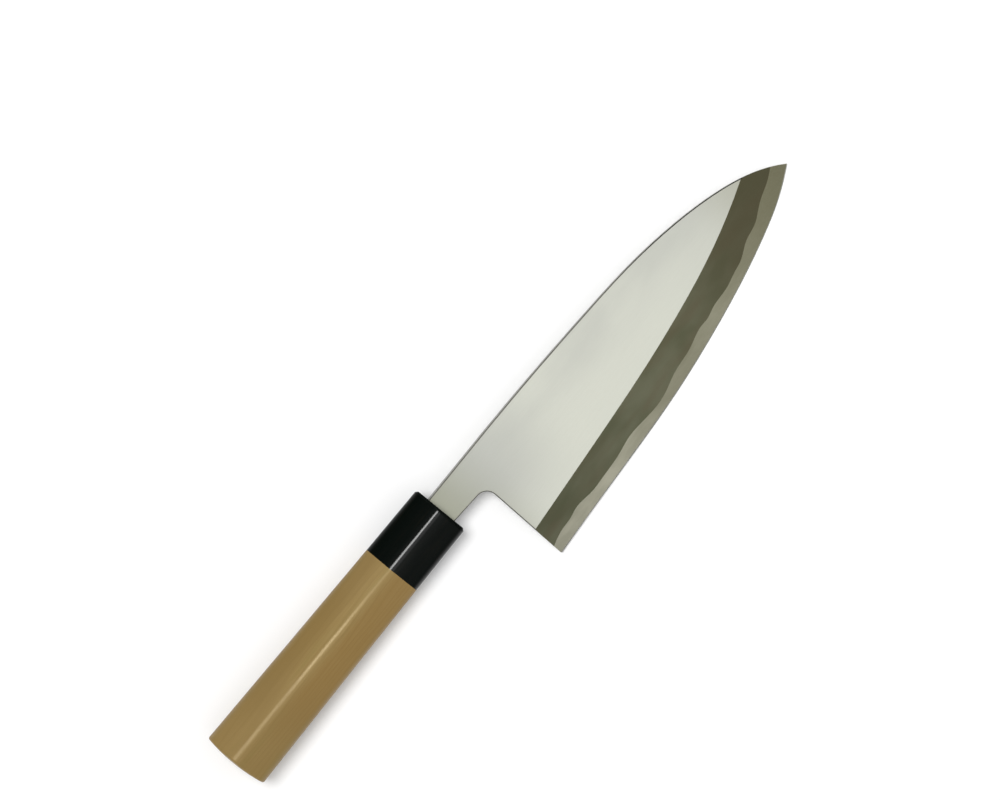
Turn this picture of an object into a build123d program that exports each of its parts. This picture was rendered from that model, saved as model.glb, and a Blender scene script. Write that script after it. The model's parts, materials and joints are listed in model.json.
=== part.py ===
import os
from math import acos, atan2, degrees, radians, tan

from build123d import *

# A right-handed deba, the thick fish knife ground on one side only. It is modelled level, in
# millimetres: X runs along the handle's axis towards the tip, Y towards the spine and Z out of
# the bevelled side, with X = 0 on the ferrule's front face. At the end every piece is restated
# in the frame of the table that the knife lies on.

# Blade outline
blade_reach = 178.2  # heel to tip, along the handle's axis
blade_height = 55.5  # spine to heel
tip_drop = 26.6  # spine at the neck to the tip
spine_rise = 6.25  # spine above the handle's axis
neck_reach = 17.2  # ferrule to heel
neck_height = 13.4  # at the ferrule
neck_flare = 1.0  # what the neck gains by the notch
notch_setback = 1.4  # notch ahead of the heel
notch_radius = 5.0
heel_radius = 0.7

# Blade thickness, and how it is ground
neck_thickness = 8.0  # at the spine
heel_thickness = 5.3  # at the ridge, by the heel
tip_thickness = 3.3  # at the ridge, carried on to the tip
bevel_edge_thickness = 0.3  # where the wide bevel would meet the edge
edge_thickness = 0.12  # what the fine bevel leaves
fine_bevel_reach = 3.0  # far enough to run out of the wide bevel
fine_bevel_angle = 35.0
arris_radius = 0.4  # broken corner round the flat side
hollow_depth = 0.45  # in the back
spine_rim = 2.6  # flat strip left between hollow and spine
edge_rim = 1.3

# Steel layer on the back
weld_start = 9.0  # from the ferrule
weld_start_thickness = 0.6

# Tang
tang_length = 85.0
tang_shoulder = 1.2  # step above and below the tang, at the ferrule
tang_root_thickness = 5.0
tang_end_height = 5.0
tang_end_thickness = 3.0
bedding_gap = 0.6
bedding_end_gap = 2.0

# Handle and ferrule: an oval drawn to a ridge on the bevelled side, measured where they meet
ferrule_length = 31.0
grip_length = 99.4  # wood behind the ferrule
joint_height = 25.6
joint_belly = 10.1  # axis to the underside
joint_ridge = 11.5  # axis to the ridge, before it is rounded
ridge_offset = 0.85  # from the axis, towards the spine
ridge_radius = 2.8
flank_radius = 75.0  # the faint crown of the two flanks
shoulder_radius = 3.8  # where the flanks turn into the belly
shoulder_rise = 2.6  # axis to the middle of that turn
ferrule_taper = 0.3  # what the ferrule loses all round, up to its front
grip_taper = 1.4  # what the wood gains all round, up to the butt
butt_dome = 1.4
butt_edge_radius = 1.0
ferrule_break = 1.0
tenon_length = 24.0
tenon_radius = 7.5

overrun = 5.0  # how far a cutting shape runs past what it cuts

# Stations along the blade, as shares of its reach from heel to tip, and the blade's lines there.
# The first and the last station lie past the blade's ends.
station_shares = (-0.1, 0.0, 0.25, 0.45, 0.6, 0.72, 0.84, 0.93, 1.0, 1.06)
# spine, as shares of the tip's drop
spine_shares = (0.0, 0.0, 0.009, 0.053, 0.114, 0.227, 0.421, 0.663, 1.0, 1.3)
# edge, as shares of the tip's rise above the heel
edge_shares = (-0.03, 0.0, 0.091, 0.177, 0.3, 0.433, 0.609, 0.79, 1.0, 1.2)
# ridge between flat side and bevel, as shares of the blade's height, down from the spine
ridge_shares = (0.759, 0.734, 0.668, 0.606, 0.538, 0.463, 0.356, 0.255, 0.172, 0.11)

# Weld line between iron and steel, as station and share of the bevel's rise from edge to ridge
weld_shares = (
    (0.01, 0.32), (0.05, 0.38), (0.075, 0.375), (0.095, 0.41), (0.145, 0.325), (0.2, 0.3),
    (0.25, 0.3), (0.295, 0.35), (0.345, 0.295), (0.4, 0.22), (0.43, 0.24), (0.475, 0.315),
    (0.54, 0.31), (0.595, 0.35), (0.615, 0.31), (0.64, 0.325), (0.7, 0.26), (0.735, 0.27),
    (0.765, 0.26), (0.805, 0.34), (0.85, 0.315), (0.89, 0.39), (0.935, 0.385), (0.97, 0.41),
)

# Hollow in the back, as station and share of its full depth
hollow_shares = ((0.03, 0.06), (0.12, 0.75), (0.3, 1.0), (0.55, 1.0), (0.75, 0.8), (0.92, 0.06))

ruling_share = 0.4  # how far a ground face runs past its two lines, as a share of their distance
touch_share = 0.77  # where the edge touches the table, along its length from the heel

back = -neck_thickness / 2
heel_level = spine_rise - blade_height
tip_rise = blade_height - tip_drop
tang_middle = spine_rise - neck_height / 2
tang_root_height = neck_height - 2 * tang_shoulder


def share_at(station, shares):
    """A table's share at any station, straight between its own stations."""
    for start, end, low, high in zip(station_shares, station_shares[1:], shares, shares[1:]):
        if start <= station <= end:
            return low + (station - start) / (end - start) * (high - low)


def along(station):
    return neck_reach + station * blade_reach


def spine_level(station):
    return spine_rise - share_at(station, spine_shares) * tip_drop


def edge_level(station):
    return heel_level + share_at(station, edge_shares) * tip_rise


def ridge_level(station):
    return spine_rise - share_at(station, ridge_shares) * blade_height


# The flat side is one plane, which thins the blade towards the tip and towards the ridge.
neck_corner = Vector(0, spine_rise, back + neck_thickness)
heel_ridge = Vector(along(0), ridge_level(0), back + heel_thickness)
tip_ridge = Vector(along(1), ridge_level(1), back + tip_thickness)
flat_side = Plane(
    origin=neck_corner,
    x_dir=(1, 0, 0),
    z_dir=(heel_ridge - neck_corner).cross(tip_ridge - neck_corner),
)


def ridge_point(station):
    """Where the flat side meets the wide bevel."""
    foot = Vector(along(station), ridge_level(station), 0)
    rise = flat_side.z_dir.dot(flat_side.origin - foot) / flat_side.z_dir.Z
    return foot + Vector(0, 0, rise)


def edge_point(station, thickness):
    return Vector(along(station), edge_level(station), back + thickness)


def ground_face(inner, outer):
    """A ruled face through two lines of points, run on past both."""
    inner_rail = [near + (near - far) * ruling_share for near, far in zip(inner, outer)]
    outer_rail = [far + (far - near) * ruling_share for near, far in zip(inner, outer)]
    return Face.make_surface_from_curves(Edge.make_spline(inner_rail), Edge.make_spline(outer_rail))


# Blade, iron and steel together
with BuildSketch(Plane.XY.offset(back)) as outline:
    stations = station_shares[1:-1]
    with BuildLine():
        Line((0, spine_rise), (along(0), spine_level(0)))
        Spline([(along(s), spine_level(s)) for s in stations])
        cutting_edge = Spline([(along(s), edge_level(s)) for s in stations])
        notch = (neck_reach + notch_setback, spine_rise - neck_height - neck_flare)
        Line(cutting_edge @ 0, notch)
        Line(notch, (0, spine_rise - neck_height))
        Line((0, spine_rise - neck_height), (0, spine_rise))
    make_face()
    fillet(outline.vertices().sort_by_distance(notch)[0], radius=notch_radius)
    fillet(outline.vertices().sort_by_distance(cutting_edge @ 0)[0], radius=heel_radius)

with BuildPart() as blade:
    extrude(outline.sketch, amount=neck_thickness + overrun)
    split(bisect_by=flat_side, keep=Keep.BOTTOM)
    flat_edges = blade.faces().sort_by(Axis.Z)[-1].edges()
    free_edges = flat_edges.filter_by(lambda edge: edge.center().X > arris_radius)
    fillet(free_edges.filter_by(lambda edge: edge.center().Y > heel_ridge.Y), radius=arris_radius)

    # wide bevel, from the ridge down to the edge
    ridge_line = [ridge_point(s) for s in station_shares]
    bevel_foot = [edge_point(s, bevel_edge_thickness) for s in station_shares]
    extrude(ground_face(ridge_line, bevel_foot), amount=blade_height, dir=(0, 0, 1), mode=Mode.SUBTRACT)

    # fine bevel, steeper, which leaves the edge its last thickness
    fine_foot = [edge_point(s, edge_thickness) for s in station_shares]
    fine_rise = fine_bevel_reach * tan(radians(fine_bevel_angle))
    fine_top = [point + Vector(0, fine_bevel_reach, fine_rise) for point in fine_foot]
    extrude(ground_face(fine_top, fine_foot), amount=blade_height, dir=(0, 0, 1), mode=Mode.SUBTRACT)

    # shallow hollow in the back, inside a flat rim
    for station, depth_share in hollow_shares:
        low = edge_level(station) + edge_rim
        high = spine_level(station) - spine_rim
        with BuildSketch(Plane.YZ.offset(along(station))):
            with BuildLine():
                crown = (low + high) / 2, back + depth_share * hollow_depth
                ThreePointArc((low, back), crown, (high, back))
                Polyline((high, back), (high, back - overrun), (low, back - overrun), (low, back))
            make_face()
    loft(mode=Mode.SUBTRACT)

# Steel layer, seen from the edge side: its upper line is the weld
with BuildSketch(Plane.XZ) as steel_zone:
    start = (weld_start, back + weld_start_thickness)
    weld = []
    for station, rise_share in weld_shares:
        rise = ridge_point(station).Z - back - bevel_edge_thickness
        weld.append((along(station), back + bevel_edge_thickness + rise_share * rise))
    tip_end = along(1) + overrun
    with BuildLine():
        Spline([start, *weld])
        Polyline(
            weld[-1],
            (tip_end, weld[-1][1]),
            (tip_end, back - overrun),
            (weld_start, back - overrun),
            start,
        )
    make_face()

with BuildPart() as edge_steel:
    add(blade.part)
    extrude(steel_zone.sketch, amount=blade_height, both=True, mode=Mode.INTERSECT)


def tang_bar(gap, end_gap):
    """The tang's tapering bar, or with a gap all round, the bore that takes it."""
    reach = tang_length + end_gap
    with BuildPart() as bar:
        with BuildSketch() as side_view:
            with BuildLine():
                root = tang_root_height / 2 + gap
                end = tang_end_height / 2 + gap
                Polyline((0, root), (-reach, end), (-reach, -end), (0, -root), close=True)
            make_face()
        extrude(amount=neck_thickness, both=True)
        with BuildSketch(Plane.XZ) as plan_view:
            with BuildLine():
                root = tang_root_thickness / 2 + gap
                end = tang_end_thickness / 2 + gap
                Polyline((0, root), (-reach, end), (-reach, -end), (0, -root), close=True)
            make_face()
        extrude(amount=neck_height, both=True, mode=Mode.INTERSECT)
    return bar.part


with BuildPart() as tang:
    with Locations((0, tang_middle, 0)):
        add(tang_bar(gap=0, end_gap=0))

with BuildPart() as tang_bore:
    with Locations((0, tang_middle, 0)):
        add(tang_bar(bedding_gap, bedding_end_gap))

with BuildPart() as blade_iron:
    add(blade.part)
    extrude(steel_zone.sketch, amount=blade_height, both=True, mode=Mode.SUBTRACT)
    add(tang.part)

# Grip and ferrule stand on end while they are made: X towards the spine, Y out of the bevelled
# side, and the axis as Z, with Z = 0 where they meet. Their section there is an oval of a belly
# and two tight shoulders, with two faintly crowned flanks up to the ridge.
with BuildSketch() as joint_section:
    shoulder_place = joint_height / 2 - shoulder_radius
    belly_drop = shoulder_rise + joint_belly
    belly_spread = shoulder_place**2 + belly_drop**2 - shoulder_radius**2
    belly_radius = belly_spread / (2 * (belly_drop - shoulder_radius))
    ridge = Vector(ridge_offset, joint_ridge)
    crown_reach = flank_radius - shoulder_radius
    shoulder_arcs = []
    for side in (1, -1):
        middle = Vector(side * shoulder_place, shoulder_rise)
        out = ridge - middle
        lean = flank_radius**2 - crown_reach**2 - out.length**2
        turn = acos(lean / (2 * crown_reach * out.length))
        belly_end = degrees(atan2(belly_drop - belly_radius, side * shoulder_place))
        flank_end = degrees(atan2(out.Y, out.X) - side * turn)
        ends = (belly_end, flank_end)[::side]
        shoulder_arcs.append((middle, shoulder_radius, ends[0], (ends[1] - ends[0]) % 360))
    with BuildLine():
        spine_shoulder = CenterArc(*shoulder_arcs[0])
        RadiusArc(spine_shoulder @ 1, ridge, -flank_radius)
        edge_shoulder = CenterArc(*shoulder_arcs[1])
        RadiusArc(ridge, edge_shoulder @ 0, -flank_radius)
        ThreePointArc(edge_shoulder @ 1, (0, -joint_belly), spine_shoulder @ 0)
    make_face()
    fillet(joint_section.vertices().sort_by_distance(ridge)[0], radius=ridge_radius)

with BuildSketch(Plane.XY.offset(-grip_length)) as butt_section:
    add(joint_section.sketch_local)
    offset(amount=grip_taper)

# Wooden grip, wider towards its domed butt, with a tenon for the ferrule
with BuildPart() as grip:
    extrude(butt_section.sketch, amount=grip_length, taper=degrees(atan2(grip_taper, grip_length)))
    butt_reach = joint_height / 2 + grip_taper
    dome_radius = (butt_reach**2 + butt_dome**2) / (2 * butt_dome)
    with Locations((0, 0, dome_radius - grip_length)):
        Sphere(dome_radius, mode=Mode.INTERSECT)
    fillet(grip.faces().sort_by(Axis.Z)[0].edges(), radius=butt_edge_radius)
    with BuildSketch():
        Circle(tenon_radius)
    extrude(amount=tenon_length)

with BuildPart() as collar:
    ferrule_slope = degrees(atan2(ferrule_taper, ferrule_length))
    extrude(joint_section.sketch, amount=ferrule_length, taper=ferrule_slope)
    chamfer(collar.faces().sort_by(Axis.Z)[-1].edges(), length=ferrule_break)
    with BuildSketch():
        Circle(tenon_radius)
    extrude(amount=tenon_length, mode=Mode.SUBTRACT)

# Both are laid along the blade's axis, and bored for the tang.
joint = Plane(origin=(-ferrule_length, 0, 0), x_dir=(0, 1, 0), z_dir=(1, 0, 0))

with BuildPart() as handle:
    add(joint.from_local_coords(grip.part))
    add(tang_bore.part, mode=Mode.SUBTRACT)

with BuildPart() as ferrule:
    add(joint.from_local_coords(collar.part))
    add(tang_bore.part, mode=Mode.SUBTRACT)

# Filler between tang and bore
with BuildPart() as tang_bedding:
    add(tang_bore.part)
    add(tang.part, mode=Mode.SUBTRACT)

# The knife lies with the back down, on the underside of the ferrule's rim and on the curve of
# the edge. Those two and the edge's direction give the table. As the knife leans, the lowest
# point of the ferrule moves round its belly, so the table is worked out again with each lean.
rim_radius = belly_radius - ferrule_taper
rim_middle = Vector(-ferrule_break, 0, belly_radius - joint_belly)
touch = Vector((cutting_edge @ touch_share).X, (cutting_edge @ touch_share).Y, back)
table_up = Vector(0, 0, 1)
for lean in range(3):
    ferrule_foot = rim_middle - table_up * rim_radius
    table_up = (touch - ferrule_foot).cross(cutting_edge % touch_share).normalized()
table = Plane(origin=ferrule_foot, x_dir=(1, 0, 0), z_dir=table_up)
pieces = [blade_iron, edge_steel, handle, ferrule, tang_bedding]

# The origin is on the table, under the middle of the knife.
room = Compound([table.to_local_coords(piece.part) for piece in pieces]).bounding_box()
middle_foot = table.from_local_coords(Vector(room.center().X, room.center().Y, room.min.Z))
table = Plane(origin=middle_foot, x_dir=(1, 0, 0), z_dir=table_up)
for piece in pieces:
    piece.part = table.to_local_coords(piece.part)

os.makedirs("parts", exist_ok=True)

blade_iron.part.label = "blade_iron"
export_step(blade_iron.part, "parts/blade_iron.step")

edge_steel.part.label = "edge_steel"
export_step(edge_steel.part, "parts/edge_steel.step")

handle.part.label = "handle"
export_step(handle.part, "parts/handle.step")

ferrule.part.label = "ferrule"
export_step(ferrule.part, "parts/ferrule.step")

tang_bedding.part.label = "tang_bedding"
export_step(tang_bedding.part, "parts/tang_bedding.step")
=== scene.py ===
import json
from math import cos, radians, sin

import bpy
from mathutils import Matrix, Vector

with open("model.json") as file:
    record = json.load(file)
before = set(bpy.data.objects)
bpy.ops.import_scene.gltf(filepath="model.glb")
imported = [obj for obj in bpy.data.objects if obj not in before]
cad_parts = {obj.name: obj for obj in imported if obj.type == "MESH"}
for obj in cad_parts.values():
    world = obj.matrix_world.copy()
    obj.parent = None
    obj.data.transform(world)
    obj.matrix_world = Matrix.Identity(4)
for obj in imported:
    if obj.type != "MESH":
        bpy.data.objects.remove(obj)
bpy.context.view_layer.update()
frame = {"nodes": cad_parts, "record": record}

# The knife's own axes, in which every finish is laid out in millimetres: X runs from the
# ferrule's front to the point, Y from the edge to the spine, and Z out of the bevelled side.
# They are taken from two mounts: the sheath slides along X, and the back faces away from Z.
mm_per_metre = 1000.0
mounts = {mount["name"]: mount for mount in frame["record"]["mounts"]}
sheath_foot = Vector(mounts["saya"]["pos_m"])
sheath_foot_on_knife = Vector((17.2, -24.625, -1.35))
along = Vector(mounts["saya"]["axis"]).normalized()
upward = -Vector(mounts["blade_back"]["axis"]).normalized()
across = upward.cross(along).normalized()
to_knife = Matrix((along, across, upward))


def on_knife(point):
    """A point of the frame, in metres, in the knife's own millimetres."""
    return to_knife @ (Vector(point) - sheath_foot) * mm_per_metre + sheath_foot_on_knife


def off_knife(point):
    """A point in the knife's own millimetres, in the frame, in metres."""
    step = (Vector(point) - sheath_foot_on_knife) / mm_per_metre
    return to_knife.transposed() @ step + sheath_foot


class Nodes:
    """Builds a node tree. A value is a number or a colour, or the socket of another node."""

    def __init__(self, tree):
        self.nodes = tree.nodes
        self.links = tree.links

    def set(self, node, values):
        """Gives a node's inputs, named or numbered, their values, and links those that are sockets."""
        for key, value in values.items():
            socket = node.inputs[key]
            if isinstance(value, bpy.types.NodeSocket):
                self.links.new(value, socket)
            else:
                socket.default_value = value

    def add(self, kind, values=None, **settings):
        """A new node, with its settings made before its inputs."""
        node = self.nodes.new(kind)
        for name, setting in settings.items():
            setattr(node, name, setting)
        self.set(node, values or {})
        return node

    def math(self, operation, first, second=0.0, third=0.0):
        """The result of one Math node."""
        values = {0: first, 1: second, 2: third}
        return self.add("ShaderNodeMath", values, operation=operation).outputs["Value"]

    def dot(self, first, second):
        """The cosine of the angle between two directions."""
        values = {0: first, 1: second}
        return self.add("ShaderNodeVectorMath", values, operation="DOT_PRODUCT").outputs["Value"]

    def remap(self, value, start, end, low=0.0, high=1.0, smooth=True):
        """Low where the value is start, high where it is end, and a smooth or even change between."""
        kind = "SMOOTHSTEP" if smooth else "LINEAR"
        values = {"Value": value, "From Min": start, "From Max": end, "To Min": low, "To Max": high}
        return self.add("ShaderNodeMapRange", values, interpolation_type=kind).outputs["Result"]


class Finish(Nodes):
    """A material of the knife. Its first roughness is a mean, which wear then varies."""

    # Places of the two colours among a Mix node's inputs, and of the mixed one among its outputs
    first_colour = 6
    second_colour = 7
    mixed_colour = 2

    def __init__(self, name, metallic=0.0, roughness=0.5, specular=0.5):
        self.material = bpy.data.materials.new(name)
        self.material.use_nodes = True
        super().__init__(self.material.node_tree)
        self.shader = self.nodes["Principled BSDF"]
        uniform = {"Metallic": metallic, "Roughness": roughness, "Specular IOR Level": specular}
        self.set(self.shader, uniform)
        values = {
            "Vector": self.add("ShaderNodeTexCoord").outputs["Object"],
            "Location": sheath_foot_on_knife - to_knife @ sheath_foot * mm_per_metre,
            "Rotation": to_knife.to_euler(),
            "Scale": (mm_per_metre, mm_per_metre, mm_per_metre),
        }
        self.place = self.add("ShaderNodeMapping", values).outputs["Vector"]

    def axis(self, letter):
        """One coordinate on the knife, in millimetres."""
        return self.add("ShaderNodeSeparateXYZ", {"Vector": self.place}).outputs[letter]

    def fade(self, letter, start, end, low=0.0, high=1.0):
        """A smooth change along one axis of the knife, from start to end in millimetres."""
        return self.remap(self.axis(letter), start, end, low, high)

    def noise(self, size, detail=2.0, rough=0.5, shift=(0, 0, 0), warp=0.0):
        """Cloudy variation from 0 to 1, with patches of the given size in millimetres along X, Y and Z."""
        scale = [1 / length for length in size]
        spot = self.add("ShaderNodeMapping", {"Vector": self.place, "Location": shift, "Scale": scale})
        values = {
            "Vector": spot.outputs["Vector"],
            "Scale": 1.0,
            "Detail": detail,
            "Roughness": rough,
            "Distortion": warp,
        }
        return self.add("ShaderNodeTexNoise", values).outputs["Fac"]

    def blend(self, share, first, second):
        """From the first colour, at share 0, to the second, at share 1."""
        values = {0: share, self.first_colour: first, self.second_colour: second}
        return self.add("ShaderNodeMix", values, data_type="RGBA").outputs[self.mixed_colour]

    def bump(self, height, depth, normal=None):
        """Relief that is depth millimetres high where height is 1, on top of that in normal."""
        values = {"Height": height, "Distance": depth / mm_per_metre, "Strength": 1.0}
        if normal is not None:
            values["Normal"] = normal
        return self.add("ShaderNodeBump", values).outputs["Normal"]

    def wear(self, colour, roughness, normal):
        """Links colour, roughness and relief to the shader, and gives the finished material."""
        self.set(self.shader, {"Base Color": colour, "Roughness": roughness, "Normal": normal})
        return self.material


# Steel finishes
# Besides the bright satin, these tones are painted shade in the flat's reflection: dimmer, at the neck and
# at the point. The neck's tone also darkens the scratch lines.
satin_bright = (0.588, 0.598, 0.528, 1.0)
satin_dim_reflection = (0.433, 0.440, 0.406, 1.0)
satin_scratch_and_neck_shade = (0.318, 0.323, 0.260, 1.0)
satin_point_shade = (0.350, 0.346, 0.270, 1.0)


def satin_iron():
    """The flat of the blade, ground lengthwise to a satin, its reflection painted in: cooler towards the
    spine, dimmer at the heel and towards the point, and darker at the neck, partly a less polished neck and
    partly painted shade.
    """
    iron = Finish("satin_iron", metallic=1.0, roughness=0.34)
    cloud = iron.noise((38, 17, 20), detail=2.5, shift=(3, 1, 0))
    # Painted reflection: cooler and dimmer towards the spine, in clouds
    to_spine = iron.fade("Y", -22, 6, high=0.75)
    cool = iron.math("MULTIPLY", to_spine, iron.remap(cloud, 0.25, 0.75, low=0.20, high=0.95))
    tone = iron.blend(cool, satin_bright, satin_dim_reflection)
    # Painted shade: the reflection is dimmer near the heel, most towards the spine
    heel_shade = iron.math("MULTIPLY", iron.fade("X", 64, 20), iron.fade("Y", -38, -8, low=0.15, high=0.90))
    tone = iron.blend(heel_shade, tone, satin_dim_reflection)
    # Darker at the neck: partly a less polished neck, partly painted shade
    tone = iron.blend(iron.fade("X", 31, -3), tone, satin_scratch_and_neck_shade)
    # Painted shade: the reflection dims towards the point
    tone = iron.blend(iron.fade("X", 105, 185, high=0.42), tone, satin_dim_reflection)
    tone = iron.blend(iron.fade("X", 150, 182, high=0.6), tone, satin_point_shade)
    scratch = iron.noise((42, 0.16, 0.16), detail=3.0, rough=0.65)
    fine = iron.noise((9, 0.07, 0.07), shift=(5, 2, 1))
    lines = iron.math("MULTIPLY_ADD", fine, 0.5, scratch)
    tone = iron.blend(iron.remap(lines, 0.55, 0.95, high=0.10), tone, satin_scratch_and_neck_shade)
    roughness = iron.remap(lines, 0.4, 1.1, low=0.29, high=0.40, smooth=False)
    waves = iron.noise((30, 9, 9), detail=1.0, shift=(7, 7, 0))
    relief = iron.bump(waves, 0.012, iron.bump(lines, 0.0012))
    return iron.wear(tone, roughness, relief)


haze_light = (0.172, 0.174, 0.114, 1.0)
haze_dark = (0.125, 0.130, 0.078, 1.0)
haze_brown = (0.150, 0.127, 0.080, 1.0)
haze_point = (0.082, 0.073, 0.041, 1.0)


def hazed_iron():
    """The bevel's iron, rubbed to a dull grey haze on a stone, and darker towards the point."""
    iron = Finish("hazed_iron", metallic=1.0, roughness=0.52)
    cloud = iron.noise((24, 10, 10), detail=2.5, warp=0.3)
    tone = iron.blend(iron.remap(cloud, 0.30, 0.70), haze_dark, haze_light)
    stain = iron.noise((22, 6, 6), shift=(11, 4, 2))
    tone = iron.blend(iron.remap(stain, 0.42, 0.74, high=0.5), tone, haze_brown)
    tone = iron.blend(iron.fade("X", 90, 178, high=0.8), tone, haze_point)
    rub = iron.noise((14, 0.12, 0.12), detail=3.0, rough=0.7, shift=(1, 8, 0))
    tone = iron.blend(iron.remap(rub, 0.45, 0.80, high=0.18), tone, haze_light)
    roughness = iron.remap(rub, 0.25, 0.75, low=0.46, high=0.58, smooth=False)
    return iron.wear(tone, roughness, iron.bump(rub, 0.0016))


edge_light = (0.525, 0.512, 0.402, 1.0)
edge_dark = (0.445, 0.436, 0.336, 1.0)
edge_point = (0.182, 0.176, 0.110, 1.0)


def stoned_steel():
    """The hard steel on the bevel: stoned as the iron is, brighter, and darker at belly and point."""
    steel = Finish("stoned_steel", metallic=1.0, roughness=0.42)
    cloud = steel.noise((12, 3.5, 3.5), detail=3.0, shift=(2, 5, 3))
    tone = steel.blend(steel.remap(cloud, 0.32, 0.68), edge_dark, edge_light)
    tone = steel.blend(steel.fade("X", 50, 195), tone, edge_point)
    belly = steel.math("MULTIPLY", steel.fade("X", 48, 98, high=0.52), steel.fade("X", 130, 108))
    tone = steel.blend(belly, tone, edge_point)
    rub = steel.noise((11, 0.10, 0.10), detail=3.0, rough=0.7, shift=(4, 2, 6))
    tone = steel.blend(steel.remap(rub, 0.45, 0.80, high=0.2), tone, edge_light)
    roughness = steel.remap(rub, 0.25, 0.75, low=0.36, high=0.48, smooth=False)
    return steel.wear(tone, roughness, steel.bump(rub, 0.0014))


facet_light = (0.56, 0.56, 0.50, 1.0)
facet_dark = (0.42, 0.42, 0.37, 1.0)


def honed_steel():
    """The narrow honed facet at the edge, scratched across it."""
    steel = Finish("honed_steel", metallic=1.0, roughness=0.22)
    rub = steel.noise((0.12, 1.6, 1.6), rough=0.6)
    tone = steel.blend(steel.remap(rub, 0.3, 0.7), facet_dark, facet_light)
    return steel.wear(tone, steel.remap(rub, 0.3, 0.7, low=0.18, high=0.28), steel.bump(rub, 0.001))


# The arris's tones are painted shade: a dark reflection line along the broken corner.
arris_light = (0.17, 0.168, 0.145, 1.0)
arris_dark = (0.10, 0.098, 0.082, 1.0)
arris_point_shade = (0.026, 0.026, 0.022, 1.0)


def dull_shaded_arris():
    """The broken corner round the flat side, rubbed dull, its colour painted dark as shade in its
    reflection, and nearly black towards the point.
    """
    iron = Finish("dull_shaded_arris", metallic=1.0, roughness=0.6)
    rub = iron.noise((6, 0.5, 0.5), detail=3.0, rough=0.6, shift=(2, 2, 4))
    tone = iron.blend(iron.remap(rub, 0.3, 0.7), arris_dark, arris_light)
    tone = iron.blend(iron.fade("X", 108, 140, high=0.8), tone, arris_point_shade)
    return iron.wear(tone, iron.remap(rub, 0.3, 0.7, low=0.52, high=0.66), iron.bump(rub, 0.004))


wall_light = (0.34, 0.34, 0.31, 1.0)
wall_dark = (0.20, 0.20, 0.18, 1.0)


def ground_walls():
    """The spine, the heel and the neck's sides, left from a coarse belt."""
    steel = Finish("ground_walls", metallic=1.0, roughness=0.48)
    belt = steel.noise((20, 20, 0.12), detail=3.0, rough=0.65)
    tone = steel.blend(steel.remap(belt, 0.3, 0.7), wall_dark, wall_light)
    return steel.wear(tone, steel.remap(belt, 0.3, 0.7, low=0.42, high=0.56), steel.bump(belt, 0.003))


rim_light = (0.68, 0.68, 0.62, 1.0)
rim_dark = (0.56, 0.56, 0.51, 1.0)


def back_rim():
    """The flat rim round the hollow, laid on the stone and nearly bright."""
    steel = Finish("back_rim", metallic=1.0, roughness=0.2)
    rub = steel.noise((7, 0.14, 0.14), detail=3.0, rough=0.6, shift=(6, 1, 1))
    tone = steel.blend(steel.remap(rub, 0.3, 0.7), rim_dark, rim_light)
    return steel.wear(tone, steel.remap(rub, 0.3, 0.7, low=0.15, high=0.26), steel.bump(rub, 0.0008))


hollow_light = (0.54, 0.54, 0.49, 1.0)
hollow_base = (0.45, 0.45, 0.41, 1.0)
hollow_dark = (0.36, 0.36, 0.33, 1.0)


def back_hollow():
    """The hollow of the back, ground by a wheel that ran along the blade."""
    steel = Finish("back_hollow", metallic=1.0, roughness=0.36)
    wheel = steel.noise((30, 0.14, 0.14), detail=2.5, rough=0.55, shift=(8, 3, 3))
    cloud = steel.noise((26, 12, 12), shift=(1, 1, 5))
    tone = steel.blend(steel.remap(wheel, 0.3, 0.7), hollow_base, hollow_light)
    tone = steel.blend(steel.remap(cloud, 0.35, 0.7, high=0.35), tone, hollow_dark)
    return steel.wear(tone, steel.remap(wheel, 0.3, 0.7, low=0.31, high=0.41), steel.bump(wheel, 0.0015))


# Horn, wood and filler
horn_black = (0.0009, 0.0022, 0.0015, 1.0)
horn_brown = (0.006, 0.0056, 0.0036, 1.0)


def black_horn():
    """Polished black horn with faint streaks, duller towards its sides and at its front corner."""
    horn = Finish("black_horn", roughness=0.2)
    streak = horn.noise((26, 1.1, 1.1), detail=3.0, rough=0.6, warp=0.5)
    tone = horn.blend(horn.remap(streak, 0.50, 0.80), horn_black, horn_brown)
    scratch = horn.noise((10, 0.09, 0.09), detail=3.0, rough=0.7, shift=(3, 3, 9))
    shine = horn.fade("Y", -11.0, -7.5, low=0.28, high=0.43)
    shine = horn.math("SUBTRACT", shine, horn.fade("Y", 1.8, 4.0, high=0.22))
    shine = horn.math("SUBTRACT", shine, horn.fade("Y", 7.5, 11.0, high=0.08))
    shine = horn.math("MULTIPLY", shine, horn.fade("X", -0.7, -1.6, low=0.06))
    horn.set(horn.shader, {"Specular IOR Level": shine})
    roughness = horn.remap(scratch, 0.35, 0.8, low=0.16, high=0.27, smooth=False)
    swell = horn.noise((9, 3.5, 3.5), detail=1.0, shift=(5, 5, 5))
    relief = horn.bump(swell, 0.012, horn.bump(scratch, 0.0008))
    return horn.wear(tone, roughness, relief)


# The late tone is the growth rings' and pores' colour, and also the painted shade on the flank towards the
# spine.
wood_light = (0.303, 0.211, 0.080, 1.0)
wood_base = (0.268, 0.178, 0.061, 1.0)
wood_late_and_shade = (0.215, 0.139, 0.045, 1.0)
wood_green = (0.228, 0.176, 0.055, 1.0)
wood_amber = (0.234, 0.123, 0.029, 1.0)
wood_gloss_tint = (1.0, 0.86, 0.58, 1.0)
half_ring = 1.15
ring_drift = 9.0
ring_lean = 0.55


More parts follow.
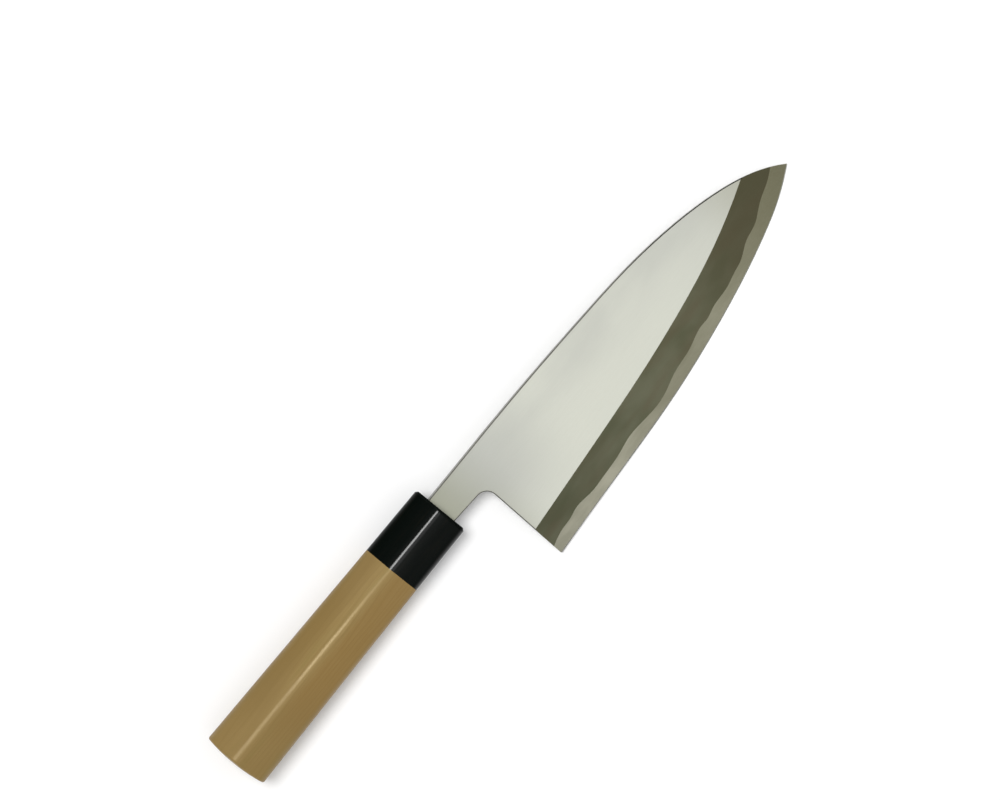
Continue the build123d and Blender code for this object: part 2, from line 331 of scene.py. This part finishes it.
def magnolia():
    """Pale straight-grained magnolia with faint growth rings, rubbed smooth with oil, and painted shade on
    the flank towards the spine.
    """
    wood = Finish("magnolia", roughness=0.35, specular=0.48)
    wood.set(wood.shader, {"Specular Tint": wood_gloss_tint})
    drift = wood.noise((70, 9, 9), shift=(0, 4, 1))
    heart = wood.math("MULTIPLY_ADD", drift, ring_drift, wood.axis("Y"))
    depth = wood.math("MULTIPLY_ADD", wood.axis("Z"), ring_lean, heart)
    ring = wood.math("PINGPONG", depth, half_ring)
    late = wood.remap(ring, 0.55, half_ring, high=0.55)
    fibre = wood.noise((24, 0.17, 0.17), detail=3.0, rough=0.65)
    tone = wood.blend(wood.remap(fibre, 0.32, 0.68), wood_base, wood_light)
    late = wood.math("MULTIPLY", late, wood.remap(fibre, 0.25, 0.7))
    tone = wood.blend(late, tone, wood_late_and_shade)
    mineral = wood.noise((60, 5, 5), shift=(9, 2, 7))
    tone = wood.blend(wood.remap(mineral, 0.52, 0.75, high=0.5), tone, wood_green)
    edge_side = wood.fade("Y", 0.5, -3.5, high=0.32)
    amber = wood.math("MULTIPLY", edge_side, wood.fade("X", -120, -92, low=0.1))
    tone = wood.blend(amber, tone, wood_amber)
    tone = wood.blend(wood.fade("X", -75, -105, high=0.40), tone, wood_late_and_shade)
    # Painted shade: the flank towards the spine darkens away from the ridge, less so at the butt
    spine_side = wood.fade("Y", 2.5, 9.5, high=0.75)
    flank_shade = wood.math("MULTIPLY", spine_side, wood.fade("X", -122, -95, low=0.3))
    tone = wood.blend(flank_shade, tone, wood_late_and_shade)
    pore = wood.noise((2.4, 0.085, 0.085), detail=1.0, shift=(2, 6, 4))
    pits = wood.remap(pore, 0.66, 0.74)
    tone = wood.blend(wood.math("MULTIPLY", pits, 0.35), tone, wood_late_and_shade)
    rubbed = wood.remap(fibre, 0.3, 0.7, low=0.29, high=0.37, smooth=False)
    duller = wood.math("ADD", wood.fade("X", -66, -34, high=0.16), wood.fade("X", -78, -98, high=0.08))
    roughness = wood.math("ADD", rubbed, duller)
    planed = wood.noise((13, 3.5, 3.5), detail=1.0, shift=(4, 4, 2))
    relief = wood.bump(planed, 0.06, wood.bump(pits, -0.006, wood.bump(fibre, 0.004)))
    return wood.wear(tone, roughness, relief)


filler_light = (0.034, 0.026, 0.017, 1.0)
filler_dark = (0.016, 0.012, 0.008, 1.0)


def dark_filler():
    """The set filler in the ferrule's mouth."""
    filler = Finish("dark_filler")
    grit = filler.noise((0.5, 0.5, 0.5), detail=3.0, rough=0.6)
    tone = filler.blend(filler.remap(grit, 0.3, 0.7), filler_dark, filler_light)
    return filler.wear(tone, filler.remap(grit, 0.3, 0.7, low=0.42, high=0.62), filler.bump(grit, 0.02))


# Which finish lies on which surface. The limits are on its normal: how far it points out of the
# bevelled side or out of the back, and how far the bevel's leans to the edge. The last one is on
# its centre: a level just above the back's rim.
facing_out = 0.93
facet_out = 0.6
arris_out = 0.2
facing_back = -0.9
bevel_to_edge = -0.1
above_rim = -3.99


def iron_surface(centre, normal):
    """The finish for a surface of the iron, by its normal on the knife."""
    if normal.z > facing_out:
        return "bevel" if normal.y < bevel_to_edge else "flat"
    return "arris" if normal.z > arris_out else "wall"


def steel_surface(centre, normal):
    """The finish for a surface of the steel, by its centre and its normal on the knife."""
    if normal.z > facing_out:
        return "bevel"
    if normal.z > facet_out:
        return "facet"
    if normal.z < facing_back:
        return "rim" if centre.z < above_rim else "hollow"
    return "wall"


def surfaces(mesh):
    """The faces of a mesh in groups that share corners: one group for each surface of the solid."""
    parent = list(range(len(mesh.vertices)))

    def root(corner):
        while parent[corner] != corner:
            corner = parent[corner]
        return corner

    for face in mesh.polygons:
        first = root(face.vertices[0])
        for corner in face.vertices[1:]:
            parent[root(corner)] = first
    groups = {}
    for face in mesh.polygons:
        groups.setdefault(root(face.vertices[0]), []).append(face)
    return groups.values()


def paint(node, finishes, choose=None):
    """Gives a node its finishes: one for all of it, or the one that choose names for each surface."""
    mesh = frame["nodes"][node].data
    mesh.materials.clear()
    for material in finishes.values():
        mesh.materials.append(material)
    if choose is None:
        return
    slots = list(finishes)
    for group in surfaces(mesh):
        area = sum(face.area for face in group)
        centre = sum((face.center * face.area for face in group), Vector()) / area
        normal = sum((face.normal * face.area for face in group), Vector()) / area
        slot = slots.index(choose(on_knife(centre), to_knife @ normal))
        for face in group:
            face.material_index = slot


walls = ground_walls()
iron_finishes = {
    "flat": satin_iron(),
    "bevel": hazed_iron(),
    "arris": dull_shaded_arris(),
    "wall": walls,
}
steel_finishes = {
    "bevel": stoned_steel(),
    "facet": honed_steel(),
    "rim": back_rim(),
    "hollow": back_hollow(),
    "wall": walls,
}
paint("blade_iron", iron_finishes, iron_surface)
paint("edge_steel", steel_finishes, steel_surface)
paint("ferrule", {"all": black_horn()})
paint("handle", {"all": magnolia()})
paint("tang_bedding", {"all": dark_filler()})


# Table
table_side = 60.0
table_grey = (0.86, 0.86, 0.86, 1.0)
table_lift = 0.115


def pale_table():
    """A matt grey that takes the knife's shadow, lifted to white where it is seen or mirrored."""
    material = bpy.data.materials.new("pale_table")
    material.use_nodes = True
    material.node_tree.nodes.clear()
    tree = Nodes(material.node_tree)
    rays = tree.add("ShaderNodeLightPath").outputs
    seen = tree.math("MAXIMUM", rays["Is Camera Ray"], rays["Is Glossy Ray"])
    seen = tree.math("MAXIMUM", seen, rays["Is Transmission Ray"])
    matt = tree.add("ShaderNodeBsdfDiffuse", {"Color": table_grey})
    glow = tree.add("ShaderNodeEmission", {"Strength": tree.math("MULTIPLY", seen, table_lift)})
    both = tree.add("ShaderNodeAddShader", {0: matt.outputs["BSDF"], 1: glow.outputs["Emission"]})
    tree.add("ShaderNodeOutputMaterial", {"Surface": both.outputs["Shader"]})
    return material


bpy.ops.mesh.primitive_plane_add(size=table_side, location=(0, 0, 0))
table = bpy.context.object
table.name = "table"
table.data.materials.append(pale_table())


# Studio light: a broad bright ceiling that fades down the walls, a pale band at the horizon, and a
# paler wall past each end of the knife
ceiling = Vector((0.08, -0.30, 0.95)).normalized()
ceiling_level = 0.94
ceiling_inner = radians(27)
ceiling_outer = radians(40)
wall_level = 0.10
horizon_level = 0.35
horizon_full = radians(12)
horizon_top = radians(22)
end_level = 0.35
end_start = 0.40
end_full = 0.75
white = (1.0, 1.0, 1.0, 1.0)


def studio_sky():
    """The light that comes from all round, by direction."""
    world = bpy.data.worlds.new("studio")
    world.use_nodes = True
    sky = Nodes(world.node_tree)
    way = sky.add("ShaderNodeTexCoord").outputs["Generated"]
    height = sky.add("ShaderNodeSeparateXYZ", {"Vector": way}).outputs["Z"]
    either_end = sky.math("ABSOLUTE", sky.dot(way, along))
    toward = sky.dot(way, ceiling)
    overhead = sky.remap(toward, cos(ceiling_outer), cos(ceiling_inner), wall_level, ceiling_level)
    band = sky.remap(height, sin(horizon_top), sin(horizon_full), high=horizon_level)
    ends = sky.remap(either_end, end_start, end_full, high=end_level)
    level = sky.math("ADD", overhead, sky.math("ADD", band, ends))
    sky.set(sky.nodes["Background"], {"Color": white, "Strength": level})
    return world


bpy.context.scene.world = studio_sky()

# Key lamp: a soft sun, nearly overhead
key_level = 2.06
key_width = radians(26)
key_lean = radians(15.5)
key_from = Vector((-0.04, sin(key_lean), cos(key_lean)))
lamp = bpy.data.lights.new("key", "SUN")
lamp.energy = key_level
lamp.angle = key_width
key = bpy.data.objects.new("key", lamp)
key.rotation_euler = key_from.to_track_quat("Z", "Y").to_euler()
bpy.context.scene.collection.objects.link(key)


# Camera, straight above the table: the picture is field_width wide at the height measured_level
sensor_width_mm = 36.0
field_width = 0.3998
measured_level = 0.0075
camera_height = 2.007
picture_centre = off_knife((48.95, 9.05, -2.35))
picture_right = Vector((0.6332, -0.7748, 0.0))
backward = Vector((0, 0, 1))
picture_up = backward.cross(picture_right)
camera_data = bpy.data.cameras.new("camera")
camera_data.sensor_width = sensor_width_mm
camera_data.lens = sensor_width_mm * (camera_height - measured_level) / field_width
camera = bpy.data.objects.new("camera", camera_data)
stand = Matrix.Translation((picture_centre.x, picture_centre.y, camera_height))
turn = Matrix((picture_right, picture_up, backward)).transposed()
camera.matrix_world = stand @ turn.to_4x4()
bpy.context.scene.collection.objects.link(camera)
bpy.context.scene.camera = camera
bpy.context.scene.view_settings.view_transform = "Standard"
